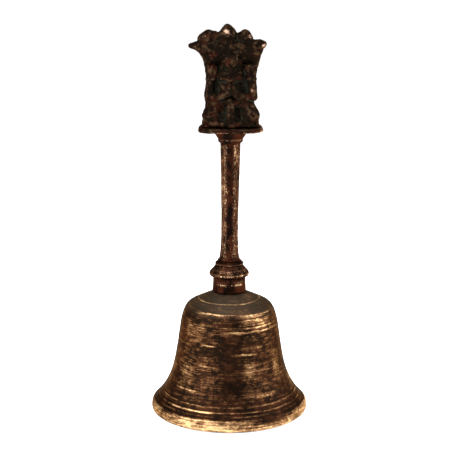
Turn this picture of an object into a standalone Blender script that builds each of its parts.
"""Brass hand bell with a figured finial.

The bell stands on its mouth: the origin is at the middle of the mouth plane, +Z runs up the
handle and -Y is the front of the figure. The cup, the collar and the tie rod are upright; the
handle leans very slightly to the right, as it was screwed down. All sizes are in metres.
"""

import math

import bmesh
import bpy
from mathutils import Matrix, Vector

# Cup
BELL_HEIGHT = 0.0600
LIP_RADIUS = 0.0386
WAIST_RADIUS = 0.0241
WAIST_HEIGHT = 0.0444
CROWN_RIM_RADIUS = 0.0150
CROWN_FALL = 0.0031
CROWN_WALL = 0.0032
WALL = 0.0024
LIP_WALL = 0.0033
SHOULDER_SLOPE_SHARE = 0.33
SHOULDER_POWER = 5.5
TAPER_SHARE = 0.42
FLARE_POWER = 4.2

# Lip roll, measured up from the mouth and in from the widest line
ROLL_HEIGHT = 0.0063
ROLL_MIDDLE = 0.0023
ROLL_DEPTH = 0.0040
ROLL_UPPER_RISE = 0.0045
ROLL_STEP = 0.0004
ROLL_ROUNDNESS = 2.5
REST_RIM_OUTSET = 0.0011
REST_RIM_WIDTH = 0.0016
MOUTH_CHAMFER = 0.0006

# Incised grooves above the roll
GROOVE_RISES = (0.0026, 0.0052)
GROOVE_WIDTH = 0.0009
GROOVE_DEPTH = 0.0003

# Rod, washer and nut that clamp the cup to the handle
ROD_RADIUS = 0.0026
ROD_CLEARANCE = 0.0003
ROD_GRIP = 0.0080
SEAT_GAP = 0.0003
WASHER_RADIUS = 0.0066
WASHER_THICKNESS = 0.0010
NUT_ACROSS_FLATS = 0.0090
NUT_THICKNESS = 0.0038

# Eye, link and clapper
EYE_NECK = 0.0026
EYE_RADIUS = 0.0034
EYE_PLAY = 0.0008
EYE_THICKNESS = 0.0024
LINK_SLACK = 0.0005
LINK_WIRE_RADIUS = 0.0009
STEM_RADIUS = 0.0015
STEM_CLEARANCE = 0.0003
BALL_RADIUS = 0.0070
CLAPPER_REACH = 0.0267
PEEN_RADIUS = 0.0026
PEEN_THICKNESS = 0.0013

# Handle
HANDLE_LEAN = math.radians(0.5)
COLLAR_RADIUS = 0.0082
COLLAR_TOP_RADIUS = 0.0079
COLLAR_HEIGHT = 0.0076
CUSHION_RADIUS = 0.0094
CUSHION_HEIGHT = 0.0053
CUSHION_TOP_RADIUS = 0.0068
RING_RADIUS = 0.0068
RING_HEIGHT = 0.0022
RING_TOP_RADIUS = 0.0050
SHAFT_LENGTH = 0.0570
SHAFT_FOOT_RADIUS = 0.0046
SHAFT_MIDDLE_RADIUS = 0.0039
SHAFT_TOP_RADIUS = 0.0046
SHAFT_SIDES = 8
SHAFT_FLARE_POWER = 2.6
SOCKET_RADIUS = 0.0060
SOCKET_TOP_RADIUS = 0.0075
SOCKET_HEIGHT = 0.0054
DOWEL_RADIUS = 0.0014
DOWEL_GRIP = 0.0070

# Finial
PLINTH_HALF_WIDTH = 0.0149
PLINTH_HALF_DEPTH = 0.0120
PLINTH_THICKNESS = 0.0020
PLINTH_CORNER = 0.0045
PLINTH_CORNER_STEPS = 6
PLINTH_EDGE = 0.0005
PLINTH_EDGE_STEPS = 2
FIGURE_HEIGHT = 0.0365
SEAT_HEIGHT = 0.0135
BACK_PLANE = 0.0026
CANOPY_HEIGHT = 0.0484
HOOD_FOOT_HALF_WIDTH = 0.0112
HOOD_HALF_WIDTH = 0.0158
HOOD_SPREAD = 1.9
LEFT_TIP_REACH = 0.0192
RIGHT_TIP_REACH = 0.0150
CASTING_GRAIN = 0.0017
CASTING_SOFTNESS = 4

# Upper lobes of the canopy: place across, height of the top, half width, half height
LOBES = (
    (-0.0105, 0.0462, 0.0042, 0.0036),
    (-0.0019, CANOPY_HEIGHT, 0.0050, 0.0058),
    (0.0066, 0.0464, 0.0035, 0.0037),
)

# Fineness of the round pieces
CUP_STEPS = 40
TURNED_STEPS = 32
SMALL_STEPS = 20
MERGE = 0.000005

# Heights that follow from the sizes above
CROWN_RIM_HEIGHT = BELL_HEIGHT - CROWN_FALL
ROLL_TOP_HEIGHT = ROLL_HEIGHT + ROLL_STEP
ROLL_CENTRE_RADIUS = LIP_RADIUS - ROLL_DEPTH
BORE_RADIUS = ROD_RADIUS + ROD_CLEARANCE
CROWN_UNDERSIDE = BELL_HEIGHT - CROWN_WALL
COLLAR_BASE = BELL_HEIGHT + SEAT_GAP
COLLAR_TOP = COLLAR_BASE + COLLAR_HEIGHT
CUSHION_BASE = COLLAR_TOP + SEAT_GAP + CUSHION_RADIUS * math.sin(HANDLE_LEAN)
RING_BASE = CUSHION_BASE + CUSHION_HEIGHT + SEAT_GAP
SHAFT_BASE = RING_BASE + RING_HEIGHT + SEAT_GAP
SHAFT_TOP = SHAFT_BASE + SHAFT_LENGTH
SOCKET_BASE = SHAFT_TOP + SEAT_GAP
PLINTH_BASE = SOCKET_BASE + SOCKET_HEIGHT + SEAT_GAP
PLINTH_TOP = PLINTH_BASE + PLINTH_THICKNESS
FIGURE_BASE = PLINTH_TOP + SEAT_GAP
NUT_BASE = CROWN_UNDERSIDE - SEAT_GAP - WASHER_THICKNESS - SEAT_GAP - NUT_THICKNESS
EYE_HEIGHT = NUT_BASE - EYE_NECK - EYE_RADIUS
EYE_HOLE_RADIUS = LINK_WIRE_RADIUS + EYE_PLAY
LINK_RADIUS = EYE_RADIUS + LINK_SLACK
LINK_LOW_HEIGHT = EYE_HEIGHT - 2 * LINK_RADIUS


# ---------------------------------------------------------------- scene helpers


def clear_scene():
    """Remove every object that is in the open file."""
    for obj in list(bpy.data.objects):
        bpy.data.objects.remove(obj, do_unlink=True)


def new_collection(name):
    """Make a collection and hang it in the scene."""
    collection = bpy.data.collections.new(name)
    bpy.context.scene.collection.children.link(collection)
    return collection


def finish_material(name, colour, roughness, metallic):
    """A Principled material with one colour, roughness and metallic value."""
    material = bpy.data.materials.new(name)
    material.use_nodes = True
    shader = material.node_tree.nodes["Principled BSDF"]
    shader.inputs["Base Color"].default_value = (*colour, 1.0)
    shader.inputs["Roughness"].default_value = roughness
    shader.inputs["Metallic"].default_value = metallic
    return material


def add_object(name, mesh, collection, material=None, parent=None):
    """Put a mesh in a collection as a named object."""
    obj = bpy.data.objects.new(name, mesh)
    collection.objects.link(obj)
    obj.parent = parent
    if material:
        mesh.materials.append(material)
    return obj


def mesh_from(name, bm):
    """Turn a bmesh into a mesh that is shaded smooth."""
    mesh = bpy.data.meshes.new(name)
    bm.to_mesh(mesh)
    bm.free()
    mesh.shade_smooth()
    return mesh


def turned(name, profile, steps, collection, material=None, parent=None, ring=True):
    """Turn a profile round Z. It runs down the outer side, and back up the bore if ring is set."""
    bm = bmesh.new()
    points = [bm.verts.new((radius, 0, height)) for radius, height in profile]
    for first, second in zip(points, points[1:]):
        bm.edges.new((first, second))
    if ring:
        bm.edges.new((points[-1], points[0]))
    obj = add_object(name, mesh_from(name, bm), collection, material, parent)
    screw = obj.modifiers.new("Turning", "SCREW")
    screw.steps = steps
    screw.render_steps = steps
    screw.use_merge_vertices = True
    screw.merge_threshold = MERGE
    screw.use_smooth_shade = True
    return obj


def cut(obj, cutter, operation="DIFFERENCE"):
    """Boolean one object with a hidden guide object."""
    cutter.hide_render = True
    cutter.display_type = "WIRE"
    boolean = obj.modifiers.new("Cut " + cutter.name, "BOOLEAN")
    boolean.operation = operation
    boolean.solver = "EXACT"
    boolean.object = cutter


def rod_mesh(name, radius, low, high, steps=SMALL_STEPS, along="Z", centre=(0, 0, 0)):
    """A closed cylinder between two places along Z or Y, through a centre."""
    bm = bmesh.new()
    bmesh.ops.create_cone(
        bm, cap_ends=True, segments=steps, radius1=radius, radius2=radius, depth=high - low
    )
    for vertex in bm.verts:
        vertex.co.z += (low + high) / 2
        if along == "Y":
            vertex.co.y, vertex.co.z = -vertex.co.z, vertex.co.y
        vertex.co.x += centre[0]
        vertex.co.y += centre[1]
        vertex.co.z += centre[2]
    return mesh_from(name, bm)


def box_mesh(name, low, high):
    """A closed box between two corners."""
    bm = bmesh.new()
    bmesh.ops.create_cube(bm, size=1)
    for vertex in bm.verts:
        for axis in range(3):
            vertex.co[axis] = (low[axis] + high[axis]) / 2 + vertex.co[axis] * (high[axis] - low[axis])
    return mesh_from(name, bm)


# ---------------------------------------------------------------- cup


def shoulder_point(share):
    """Outer face between the crown rim (0) and the waist (1): a cone that rolls over."""
    radius = CROWN_RIM_RADIUS + (WAIST_RADIUS - CROWN_RIM_RADIUS) * share
    drop = SHOULDER_SLOPE_SHARE * share + (1 - SHOULDER_SLOPE_SHARE) * share**SHOULDER_POWER
    return radius, CROWN_RIM_HEIGHT - (CROWN_RIM_HEIGHT - WAIST_HEIGHT) * drop


def flare_point(share):
    """Outer face between the waist (0) and the top of the lip roll (1): a taper that flares."""
    growth = TAPER_SHARE * share + (1 - TAPER_SHARE) * share**FLARE_POWER
    roll_top_radius = roll_point(ROLL_HEIGHT)[0] - ROLL_STEP
    radius = WAIST_RADIUS + (roll_top_radius - WAIST_RADIUS) * growth
    return radius, WAIST_HEIGHT - (WAIST_HEIGHT - ROLL_TOP_HEIGHT) * share


def roll_point(height):
    """Outer face of the lip roll: a superellipse that is taller above its widest line."""
    rise = height - ROLL_MIDDLE
    reach = ROLL_UPPER_RISE if rise > 0 else ROLL_MIDDLE
    share = min(abs(rise) / reach, 1.0)
    depth = (1 - share**ROLL_ROUNDNESS) ** (1 / ROLL_ROUNDNESS)
    return ROLL_CENTRE_RADIUS + ROLL_DEPTH * depth, height


def flare_with_grooves():
    """Flare points from the waist down, with a notch for each incised groove."""
    span = WAIST_HEIGHT - ROLL_TOP_HEIGHT
    shares = [step / 12 for step in range(1, 13)]
    notches = [1 - rise / span for rise in GROOVE_RISES]
    half = GROOVE_WIDTH / span / 2
    plain = [share for share in shares if all(abs(share - notch) > 2 * half for notch in notches)]
    edges = [notch + side * half for notch in notches for side in (-1, 1)]
    points = [flare_point(share) for share in plain + edges]
    for notch in notches:
        radius, height = flare_point(notch)
        points.append((radius - GROOVE_DEPTH, height))
    return sorted(points, key=lambda point: -point[1])


def offset_inward(curve, share, wall):
    """A point one wall thickness inside an outer curve, square to it."""
    step = 0.001
    before = curve(max(share - step, 0))
    after = curve(min(share + step, 1))
    run = after[0] - before[0]
    fall = after[1] - before[1]
    length = math.hypot(run, fall)
    radius, height = curve(share)
    return radius + fall / length * wall, height - run / length * wall


def cup_profile():
    """Closed outline of the cup's wall, down the outside and back up the inside."""
    outside = [(BORE_RADIUS, BELL_HEIGHT), (COLLAR_RADIUS, BELL_HEIGHT)]
    outside += [shoulder_point((step / 9) ** 0.6) for step in range(10)]
    outside += flare_with_grooves()
    roll_heights = [ROLL_HEIGHT - (ROLL_HEIGHT - ROLL_MIDDLE) * step / 4 for step in range(5)]
    roll_heights += [ROLL_MIDDLE * share for share in (0.65, 0.35, 0.15, 0.04)]
    outside += [roll_point(height) for height in roll_heights]
    rim_outer = ROLL_CENTRE_RADIUS + REST_RIM_OUTSET
    rim_inner = rim_outer - REST_RIM_WIDTH
    mouth = [(rim_outer, 0), (rim_inner, 0), (rim_inner - MOUTH_CHAMFER, MOUTH_CHAMFER)]
    inside = []
    for share in (0.94, 0.85, 0.72, 0.55, 0.35, 0.12):
        wall = WALL + (LIP_WALL - WALL) * share**3
        inside.append(offset_inward(flare_point, share, wall))
    for share in (0.96, 0.82, 0.62, 0.35, 0.0):
        inside.append(offset_inward(shoulder_point, share, WALL))
    crown = [(COLLAR_RADIUS, CROWN_UNDERSIDE), (BORE_RADIUS, CROWN_UNDERSIDE)]
    return outside + mouth + inside + crown


def build_bell_shell(parts, material):
    """Cast and turned cup with its rod bore."""
    turned("bell_shell", cup_profile(), CUP_STEPS, parts, material)


# ---------------------------------------------------------------- clamp and clapper


def build_crown_washer(parts, material):
    """Flat washer under the crown."""
    top = CROWN_UNDERSIDE - SEAT_GAP
    low = top - WASHER_THICKNESS
    edge = [(WASHER_RADIUS, top), (WASHER_RADIUS, low), (BORE_RADIUS, low), (BORE_RADIUS, top)]
    turned("crown_washer", edge, TURNED_STEPS, parts, material)


def build_crown_nut(parts, material):
    """Hexagon nut on the tie rod, with chamfered corners."""
    corner = NUT_ACROSS_FLATS / 2 / math.cos(math.pi / 6)
    bevel = NUT_THICKNESS / 8
    top = NUT_BASE + NUT_THICKNESS
    outline = [
        (0, top),
        (corner - bevel, top),
        (corner, top - bevel),
        (corner, NUT_BASE + bevel),
        (corner - bevel, NUT_BASE),
        (0, NUT_BASE),
    ]
    nut = turned("crown_nut", outline, 6, parts, material, ring=False)
    bore = rod_mesh("nut_bore", BORE_RADIUS, NUT_BASE - NUT_THICKNESS, top + NUT_THICKNESS)
    cut(nut, add_object("nut_bore", bore, GUIDES))


def build_tie_rod(parts, material):
    """Rod from the eye inside the cup up into the foot of the shaft."""
    top = SHAFT_BASE + ROD_GRIP - SEAT_GAP
    mesh = rod_mesh("tie_rod", ROD_RADIUS, EYE_HEIGHT + EYE_HOLE_RADIUS, top)
    rod = add_object("tie_rod", mesh, parts, material)
    disc = add_object("rod_eye_disc", eye_disc("rod_eye_disc", EYE_HEIGHT, EYE_RADIUS), GUIDES)
    hole = add_object("rod_eye_hole", eye_hole("rod_eye_hole", EYE_HEIGHT), GUIDES)
    cut(rod, disc, "UNION")
    cut(rod, hole)


def eye_disc(name, height, radius):
    """Flat round boss with its axis along Y."""
    half = EYE_THICKNESS / 2
    return rod_mesh(name, radius, -half, half, SMALL_STEPS, "Y", (0, 0, height))


def eye_hole(name, height):
    """Cutter for the hole through an eye, along Y."""
    reach = EYE_THICKNESS * 2
    return rod_mesh(name, EYE_HOLE_RADIUS, -reach, reach, SMALL_STEPS, "Y", (0, 0, height))


def build_clapper_link(parts, material):
    """Closed wire ring that hangs in the rod's eye, in the YZ plane."""
    bpy.ops.mesh.primitive_torus_add(
        major_radius=LINK_RADIUS, minor_radius=LINK_WIRE_RADIUS, major_segments=28, minor_segments=10
    )
    link = bpy.context.object
    link.name = "clapper_link"
    link.data.transform(turn_to_side(LINK_RADIUS))
    link.location = (0, 0, EYE_HEIGHT)
    link.data.shade_smooth()
    link.data.materials.append(material)
    for collection in list(link.users_collection):
        collection.objects.unlink(link)
    parts.objects.link(link)


def turn_to_side(drop):
    """Matrix that stands a flat ring up in the YZ plane and hangs it by its top wire."""
    return Matrix.Translation((0, 0, -drop)) @ Matrix.Rotation(math.pi / 2, 4, "Y")


def build_clapper_stem(parts, material):
    """Stem with an eye at the top and a peened end under the ball, hung from the link."""
    ball = -CLAPPER_REACH
    foot = ball - BALL_RADIUS - SEAT_GAP
    mesh = rod_mesh("clapper_stem", STEM_RADIUS, foot - PEEN_THICKNESS / 2, -EYE_HOLE_RADIUS)
    stem = add_object("clapper_stem", mesh, parts, material)
    peen_mesh = rod_mesh("stem_peen", PEEN_RADIUS, foot - PEEN_THICKNESS, foot)
    peen = add_object("stem_peen", peen_mesh, GUIDES)
    disc = add_object("stem_eye_disc", eye_disc("stem_eye_disc", 0, EYE_RADIUS), GUIDES)
    hole = add_object("stem_eye_hole", eye_hole("stem_eye_hole", 0), GUIDES)
    for obj in (stem, peen, disc, hole):
        obj.location = (0, 0, LINK_LOW_HEIGHT)
    cut(stem, peen, "UNION")
    cut(stem, disc, "UNION")
    cut(stem, hole)


def build_clapper_ball(parts, material):
    """Bored ball that strikes the lip."""
    bore = STEM_RADIUS + STEM_CLEARANCE
    limit = math.acos(bore / BALL_RADIUS)
    steps = 14
    outline = []
    for step in range(steps + 1):
        angle = limit - 2 * limit * step / steps
        outline.append((BALL_RADIUS * math.cos(angle), BALL_RADIUS * math.sin(angle) - CLAPPER_REACH))
    ball = turned("clapper_ball", outline, TURNED_STEPS - 4, parts, material)
    ball.location = (0, 0, LINK_LOW_HEIGHT)


# ---------------------------------------------------------------- handle


def build_neck_collar(parts, material):
    """Short cylinder between the crown and the handle's foot."""
    outline = [
        (COLLAR_TOP_RADIUS, COLLAR_TOP),
        (COLLAR_RADIUS, COLLAR_BASE),
        (BORE_RADIUS, COLLAR_BASE),
        (BORE_RADIUS, COLLAR_TOP),
    ]
    turned("neck_collar", outline, TURNED_STEPS, parts, material)


def build_foot_cushion(parts, material, handle):
    """Moulded flange: tucked in below, round at its widest line, falling in to the ring."""
    tuck = CUSHION_HEIGHT * 0.10
    widest = CUSHION_HEIGHT * 0.26
    outline = [
        (CUSHION_TOP_RADIUS, CUSHION_HEIGHT),
        (CUSHION_TOP_RADIUS + 0.40 * (CUSHION_RADIUS - CUSHION_TOP_RADIUS), CUSHION_HEIGHT * 0.78),
        (CUSHION_TOP_RADIUS + 0.80 * (CUSHION_RADIUS - CUSHION_TOP_RADIUS), CUSHION_HEIGHT * 0.52),
        (CUSHION_RADIUS, widest + tuck),
        (CUSHION_RADIUS, widest - tuck),
        (CUSHION_RADIUS * 0.97, tuck),
        (COLLAR_TOP_RADIUS, 0),
        (BORE_RADIUS, 0),
        (BORE_RADIUS, CUSHION_HEIGHT),
    ]
    raised = [(radius, CUSHION_BASE + height - COLLAR_TOP) for radius, height in outline]
    turned("foot_cushion", raised, TURNED_STEPS, parts, material, handle)


def build_foot_ring(parts, material, handle):
    """Small bead between the cushion and the shaft."""
    outline = [
        (RING_TOP_RADIUS, RING_HEIGHT),
        (RING_TOP_RADIUS + 0.65 * (RING_RADIUS - RING_TOP_RADIUS), RING_HEIGHT * 0.72),
        (RING_RADIUS, RING_HEIGHT * 0.36),
        (RING_RADIUS, RING_HEIGHT * 0.12),
        (RING_RADIUS * 0.97, 0),
        (BORE_RADIUS, 0),
        (BORE_RADIUS, RING_HEIGHT),
    ]
    raised = [(radius, RING_BASE + height - COLLAR_TOP) for radius, height in outline]
    turned("foot_ring", raised, TURNED_STEPS, parts, material, handle)


def shaft_radius(share):
    """Half width of the shaft from its foot (0) to its top (1): narrow in the middle."""
    foot = (SHAFT_FOOT_RADIUS - SHAFT_MIDDLE_RADIUS) * max(1 - share / 0.32, 0) ** SHAFT_FLARE_POWER
    top = (SHAFT_TOP_RADIUS - SHAFT_MIDDLE_RADIUS) * max((share - 0.32) / 0.68, 0) ** 1.3
    return SHAFT_MIDDLE_RADIUS + foot + top


def build_handle_shaft(parts, material, handle):
    """Tapered column with flats, bored for the rod below and for the dowel above."""
    low = SHAFT_BASE - COLLAR_TOP
    high = low + SHAFT_LENGTH
    corner = 1 / math.cos(math.pi / SHAFT_SIDES)
    dowel_hole = (DOWEL_RADIUS + ROD_CLEARANCE) * corner
    rod_hole = BORE_RADIUS * corner
    outline = [(0, high - DOWEL_GRIP), (dowel_hole, high - DOWEL_GRIP), (dowel_hole, high)]
    for step in range(15):
        share = 1 - step / 14
        outline.append((shaft_radius(share) * corner, low + SHAFT_LENGTH * share))
    outline += [(rod_hole, low), (rod_hole, low + ROD_GRIP), (0, low + ROD_GRIP)]
    shaft = turned("handle_shaft", outline, SHAFT_SIDES, parts, material, handle, ring=False)
    shaft.rotation_euler = (0, 0, math.pi / SHAFT_SIDES)


def build_finial_socket(parts, material, handle):
    """Cup-shaped capital that carries the plinth."""
    bore = DOWEL_RADIUS + ROD_CLEARANCE
    outline = [
        (SOCKET_TOP_RADIUS, SOCKET_HEIGHT),
        (SOCKET_TOP_RADIUS * 0.95, SOCKET_HEIGHT * 0.80),
        (SOCKET_RADIUS * 1.02, SOCKET_HEIGHT * 0.48),
        (SOCKET_RADIUS * 0.97, SOCKET_HEIGHT * 0.16),
        (SOCKET_RADIUS * 0.90, 0),
        (bore, 0),
        (bore, SOCKET_HEIGHT),
    ]
    raised = [(radius, SOCKET_BASE + height - COLLAR_TOP) for radius, height in outline]
    turned("finial_socket", raised, TURNED_STEPS, parts, material, handle)


def stands_upright(edge):
    """Whether an edge of the plinth runs up its side rather than along a face."""
    return abs(edge.verts[0].co.z - edge.verts[1].co.z) > PLINTH_THICKNESS / 2


def build_plinth(parts, material, handle):
    """Thin plate with a straight front, rounded corners and edges, and a hole for the dowel."""
    low = PLINTH_BASE - COLLAR_TOP
    size = (2 * PLINTH_HALF_WIDTH, 2 * PLINTH_HALF_DEPTH, PLINTH_THICKNESS)
    place = Matrix.LocRotScale(Vector((0, 0, low + PLINTH_THICKNESS / 2)), None, Vector(size))
    bm = bmesh.new()
    bmesh.ops.create_cube(bm, size=1, matrix=place)
    roundings = ((True, PLINTH_CORNER, PLINTH_CORNER_STEPS), (False, PLINTH_EDGE, PLINTH_EDGE_STEPS))
    for upright, radius, steps in roundings:
        edges = [edge for edge in bm.edges if stands_upright(edge) == upright]
        bmesh.ops.bevel(bm, geom=edges, offset=radius, segments=steps, profile=0.5, affect="EDGES")
    plate = add_object("plinth", mesh_from("plinth", bm), parts, material, handle)
    bore = DOWEL_RADIUS + ROD_CLEARANCE
    hole = rod_mesh("plinth_hole", bore, low - PLINTH_THICKNESS, low + 2 * PLINTH_THICKNESS)
    cut(plate, add_object("plinth_hole", hole, GUIDES, None, handle))


def build_finial_dowel(parts, material, handle):
    """Plain pin through socket and plinth, from the shaft into the figure."""
    low = SHAFT_TOP - DOWEL_GRIP + SEAT_GAP
    high = FIGURE_BASE + DOWEL_GRIP - SEAT_GAP
    mesh = rod_mesh("finial_dowel", DOWEL_RADIUS, low - COLLAR_TOP, high - COLLAR_TOP)
    add_object("finial_dowel", mesh, parts, material, handle)


# ---------------------------------------------------------------- finial castings


def ball_blob(bm, centre, radii, turn=0.0):
    """Add an ellipsoid to a casting; turn tips it about Y, top towards +X when positive."""
    place = Matrix.Translation(centre) @ Matrix.Rotation(turn, 4, "Y") @ Matrix.Diagonal((*radii, 1))
    bmesh.ops.create_uvsphere(bm, u_segments=20, v_segments=12, radius=1, matrix=place)


def limb_blob(bm, start, end, thick, thin):
    """Add a limb to a casting: a tapered rod with round ends."""
    first = Vector(start)
    second = Vector(end)
    run = second - first
    turn = run.to_track_quat("Z", "Y").to_matrix().to_4x4()
    place = Matrix.Translation((first + second) / 2) @ turn
    bmesh.ops.create_cone(
        bm, cap_ends=True, segments=16, radius1=thick, radius2=thin, depth=run.length, matrix=place
    )
    ball_blob(bm, first, (thick,) * 3)
    ball_blob(bm, second, (thin,) * 3)


def melt_together(obj):
    """Join overlapping shapes into one worn casting."""
    remesh = obj.modifiers.new("Casting", "REMESH")
    remesh.mode = "VOXEL"
    remesh.voxel_size = CASTING_GRAIN
    remesh.use_smooth_shade = True
    smooth = obj.modifiers.new("Wear", "SMOOTH")
    smooth.iterations = CASTING_SOFTNESS


def build_figure(parts, material, handle):
    """Kneeling figure with joined hands, worn down; a notch at its back takes the hood."""
    tall = FIGURE_HEIGHT
    wide = PLINTH_HALF_WIDTH
    deep = PLINTH_HALF_DEPTH
    bm = bmesh.new()
    ball_blob(bm, (0, 0.10 * deep, 0.13 * tall), (0.90 * wide, 0.80 * deep, 0.18 * tall))
    ball_blob(bm, (0, 0, 0.03 * tall), (0.96 * wide, 0.88 * deep, 0.09 * tall))
    for side in (-1, 1):
        knee = (side * 0.60 * wide, -0.32 * deep, 0.15 * tall)
        ball_blob(bm, knee, (0.37 * wide, 0.46 * deep, 0.21 * tall))
        elbow = (side * 0.77 * wide, -0.14 * deep, 0.40 * tall)
        limb_blob(bm, (side * 0.63 * wide, 0, 0.73 * tall), elbow, 0.18 * wide, 0.16 * wide)
        limb_blob(bm, elbow, (side * 0.08 * wide, -0.66 * deep, 0.45 * tall), 0.15 * wide, 0.12 * wide)
    ball_blob(bm, (0, -0.60 * deep, 0.11 * tall), (0.20 * wide, 0.24 * deep, 0.18 * tall))
    ball_blob(bm, (0, -0.05 * deep, 0.46 * tall), (0.54 * wide, 0.50 * deep, 0.30 * tall))
    ball_blob(bm, (0, -0.68 * deep, 0.50 * tall), (0.14 * wide, 0.16 * deep, 0.11 * tall))
    ball_blob(bm, (0, 0, 0.73 * tall), (0.70 * wide, 0.42 * deep, 0.11 * tall))
    ball_blob(bm, (0, -0.22 * deep, 0.87 * tall), (0.29 * wide, 0.36 * deep, 0.13 * tall))
    figure = add_object("figure", mesh_from("figure", bm), parts, material, handle)
    figure.location = (0, 0, FIGURE_BASE - COLLAR_TOP)
    melt_together(figure)
    reach = 2 * wide
    trim_casting(figure, "figure_floor", (-reach, -reach, -tall), (reach, reach, 0), handle)
    notch = (-reach, BACK_PLANE, SEAT_HEIGHT)
    trim_casting(figure, "figure_notch", notch, (reach, reach, 2 * tall), handle)
    trim_casting(figure, "figure_top", (-reach, -reach, tall), (reach, reach, 2 * tall), handle)
    hole = rod_mesh("figure_hole", DOWEL_RADIUS + ROD_CLEARANCE, -DOWEL_GRIP, DOWEL_GRIP)
    hole_guide = add_object("figure_hole", hole, GUIDES, None, handle)
    hole_guide.location = figure.location
    cut(figure, hole_guide)


def trim_casting(obj, name, low, high, handle):
    """Cut a casting back to a flat face with a box in the finial's own frame."""
    guide = add_object(name, box_mesh(name, low, high), GUIDES, None, handle)
    guide.location = (0, 0, FIGURE_BASE - COLLAR_TOP)
    cut(obj, guide)


def hood_half_width(share):
    """Half width of the back plate from its foot (0) to the canopy (1): it spreads upwards."""
    return HOOD_FOOT_HALF_WIDTH + (HOOD_HALF_WIDTH - HOOD_FOOT_HALF_WIDTH) * share**HOOD_SPREAD


def build_hood(parts, material, handle):
    """Upright back plate behind the figure that spreads into a five-lobed canopy."""
    depth = PLINTH_HALF_DEPTH
    top = CANOPY_HEIGHT
    shoulder = 0.76 * top
    bm = bmesh.new()
    for step in range(7):
        share = step / 6
        height = SEAT_HEIGHT + (shoulder - SEAT_HEIGHT) * share
        thick = (0.34 + 0.16 * share) * depth
        middle = (0, (0.40 - 0.16 * share) * depth, height)
        ball_blob(bm, middle, (hood_half_width(share), thick, 0.11 * top))
    ball_blob(bm, (0, 0.08 * depth, 0.80 * top), (0.94 * HOOD_HALF_WIDTH, 0.50 * depth, 0.10 * top))
    left_root = (-0.78 * HOOD_HALF_WIDTH, -0.05 * depth, 0.765 * top)
    limb_blob(bm, left_root, (-LEFT_TIP_REACH, -0.14 * depth, 0.790 * top), 0.068 * top, 0.026 * top)
    right_root = (0.74 * HOOD_HALF_WIDTH, -0.05 * depth, 0.765 * top)
    limb_blob(bm, right_root, (RIGHT_TIP_REACH, -0.12 * depth, 0.798 * top), 0.060 * top, 0.034 * top)
    for place, height, half_width, half_height in LOBES:
        centre = (place, -0.20 * depth, height - half_height)
        ball_blob(bm, centre, (half_width, 0.36 * depth, half_height))
        ball_blob(bm, (place, 0, height - 1.8 * half_height), (half_width, 0.44 * depth, half_height))
    hood = add_object("hood", mesh_from("hood", bm), parts, material, handle)
    hood.location = (0, 0, FIGURE_BASE - COLLAR_TOP)
    melt_together(hood)
    reach = 3 * PLINTH_HALF_WIDTH
    low = -FIGURE_HEIGHT
    front = (reach, BACK_PLANE + SEAT_GAP, FIGURE_HEIGHT + SEAT_GAP)
    trim_casting(hood, "hood_front", (-reach, -reach, low), front, handle)
    trim_casting(hood, "hood_foot", (-reach, -reach, low), (reach, reach, SEAT_HEIGHT + SEAT_GAP), handle)


# ---------------------------------------------------------------- assembly


def build_bell():
    """Make every piece of the bell."""
    parts = new_collection("hand_bell")
    brass = finish_material("rubbed_brass", (0.36, 0.23, 0.13), 0.42, 0.85)
    dark = finish_material("dark_patina", (0.075, 0.048, 0.032), 0.55, 0.6)
    red = finish_material("red_brown_patina", (0.17, 0.085, 0.05), 0.45, 0.75)
    iron = finish_material("dull_iron", (0.12, 0.11, 0.10), 0.6, 0.8)
    plain = finish_material("plain_brass", (0.48, 0.35, 0.18), 0.4, 0.9)
    handle = bpy.data.objects.new("handle_axis", None)
    parts.objects.link(handle)
    handle.location = (0, 0, COLLAR_TOP)
    handle.rotation_euler = (0, HANDLE_LEAN, 0)
    build_bell_shell(parts, brass)
    build_neck_collar(parts, red)
    build_foot_cushion(parts, red, handle)
    build_foot_ring(parts, red, handle)
    build_handle_shaft(parts, red, handle)
    build_finial_socket(parts, red, handle)
    build_plinth(parts, dark, handle)
    build_figure(parts, dark, handle)
    build_hood(parts, dark, handle)
    build_finial_dowel(parts, iron, handle)
    build_tie_rod(parts, iron)
    build_crown_washer(parts, iron)
    build_crown_nut(parts, iron)
    build_clapper_link(parts, iron)
    build_clapper_stem(parts, iron)
    build_clapper_ball(parts, plain)


clear_scene()
GUIDES = new_collection("guides")
build_bell()
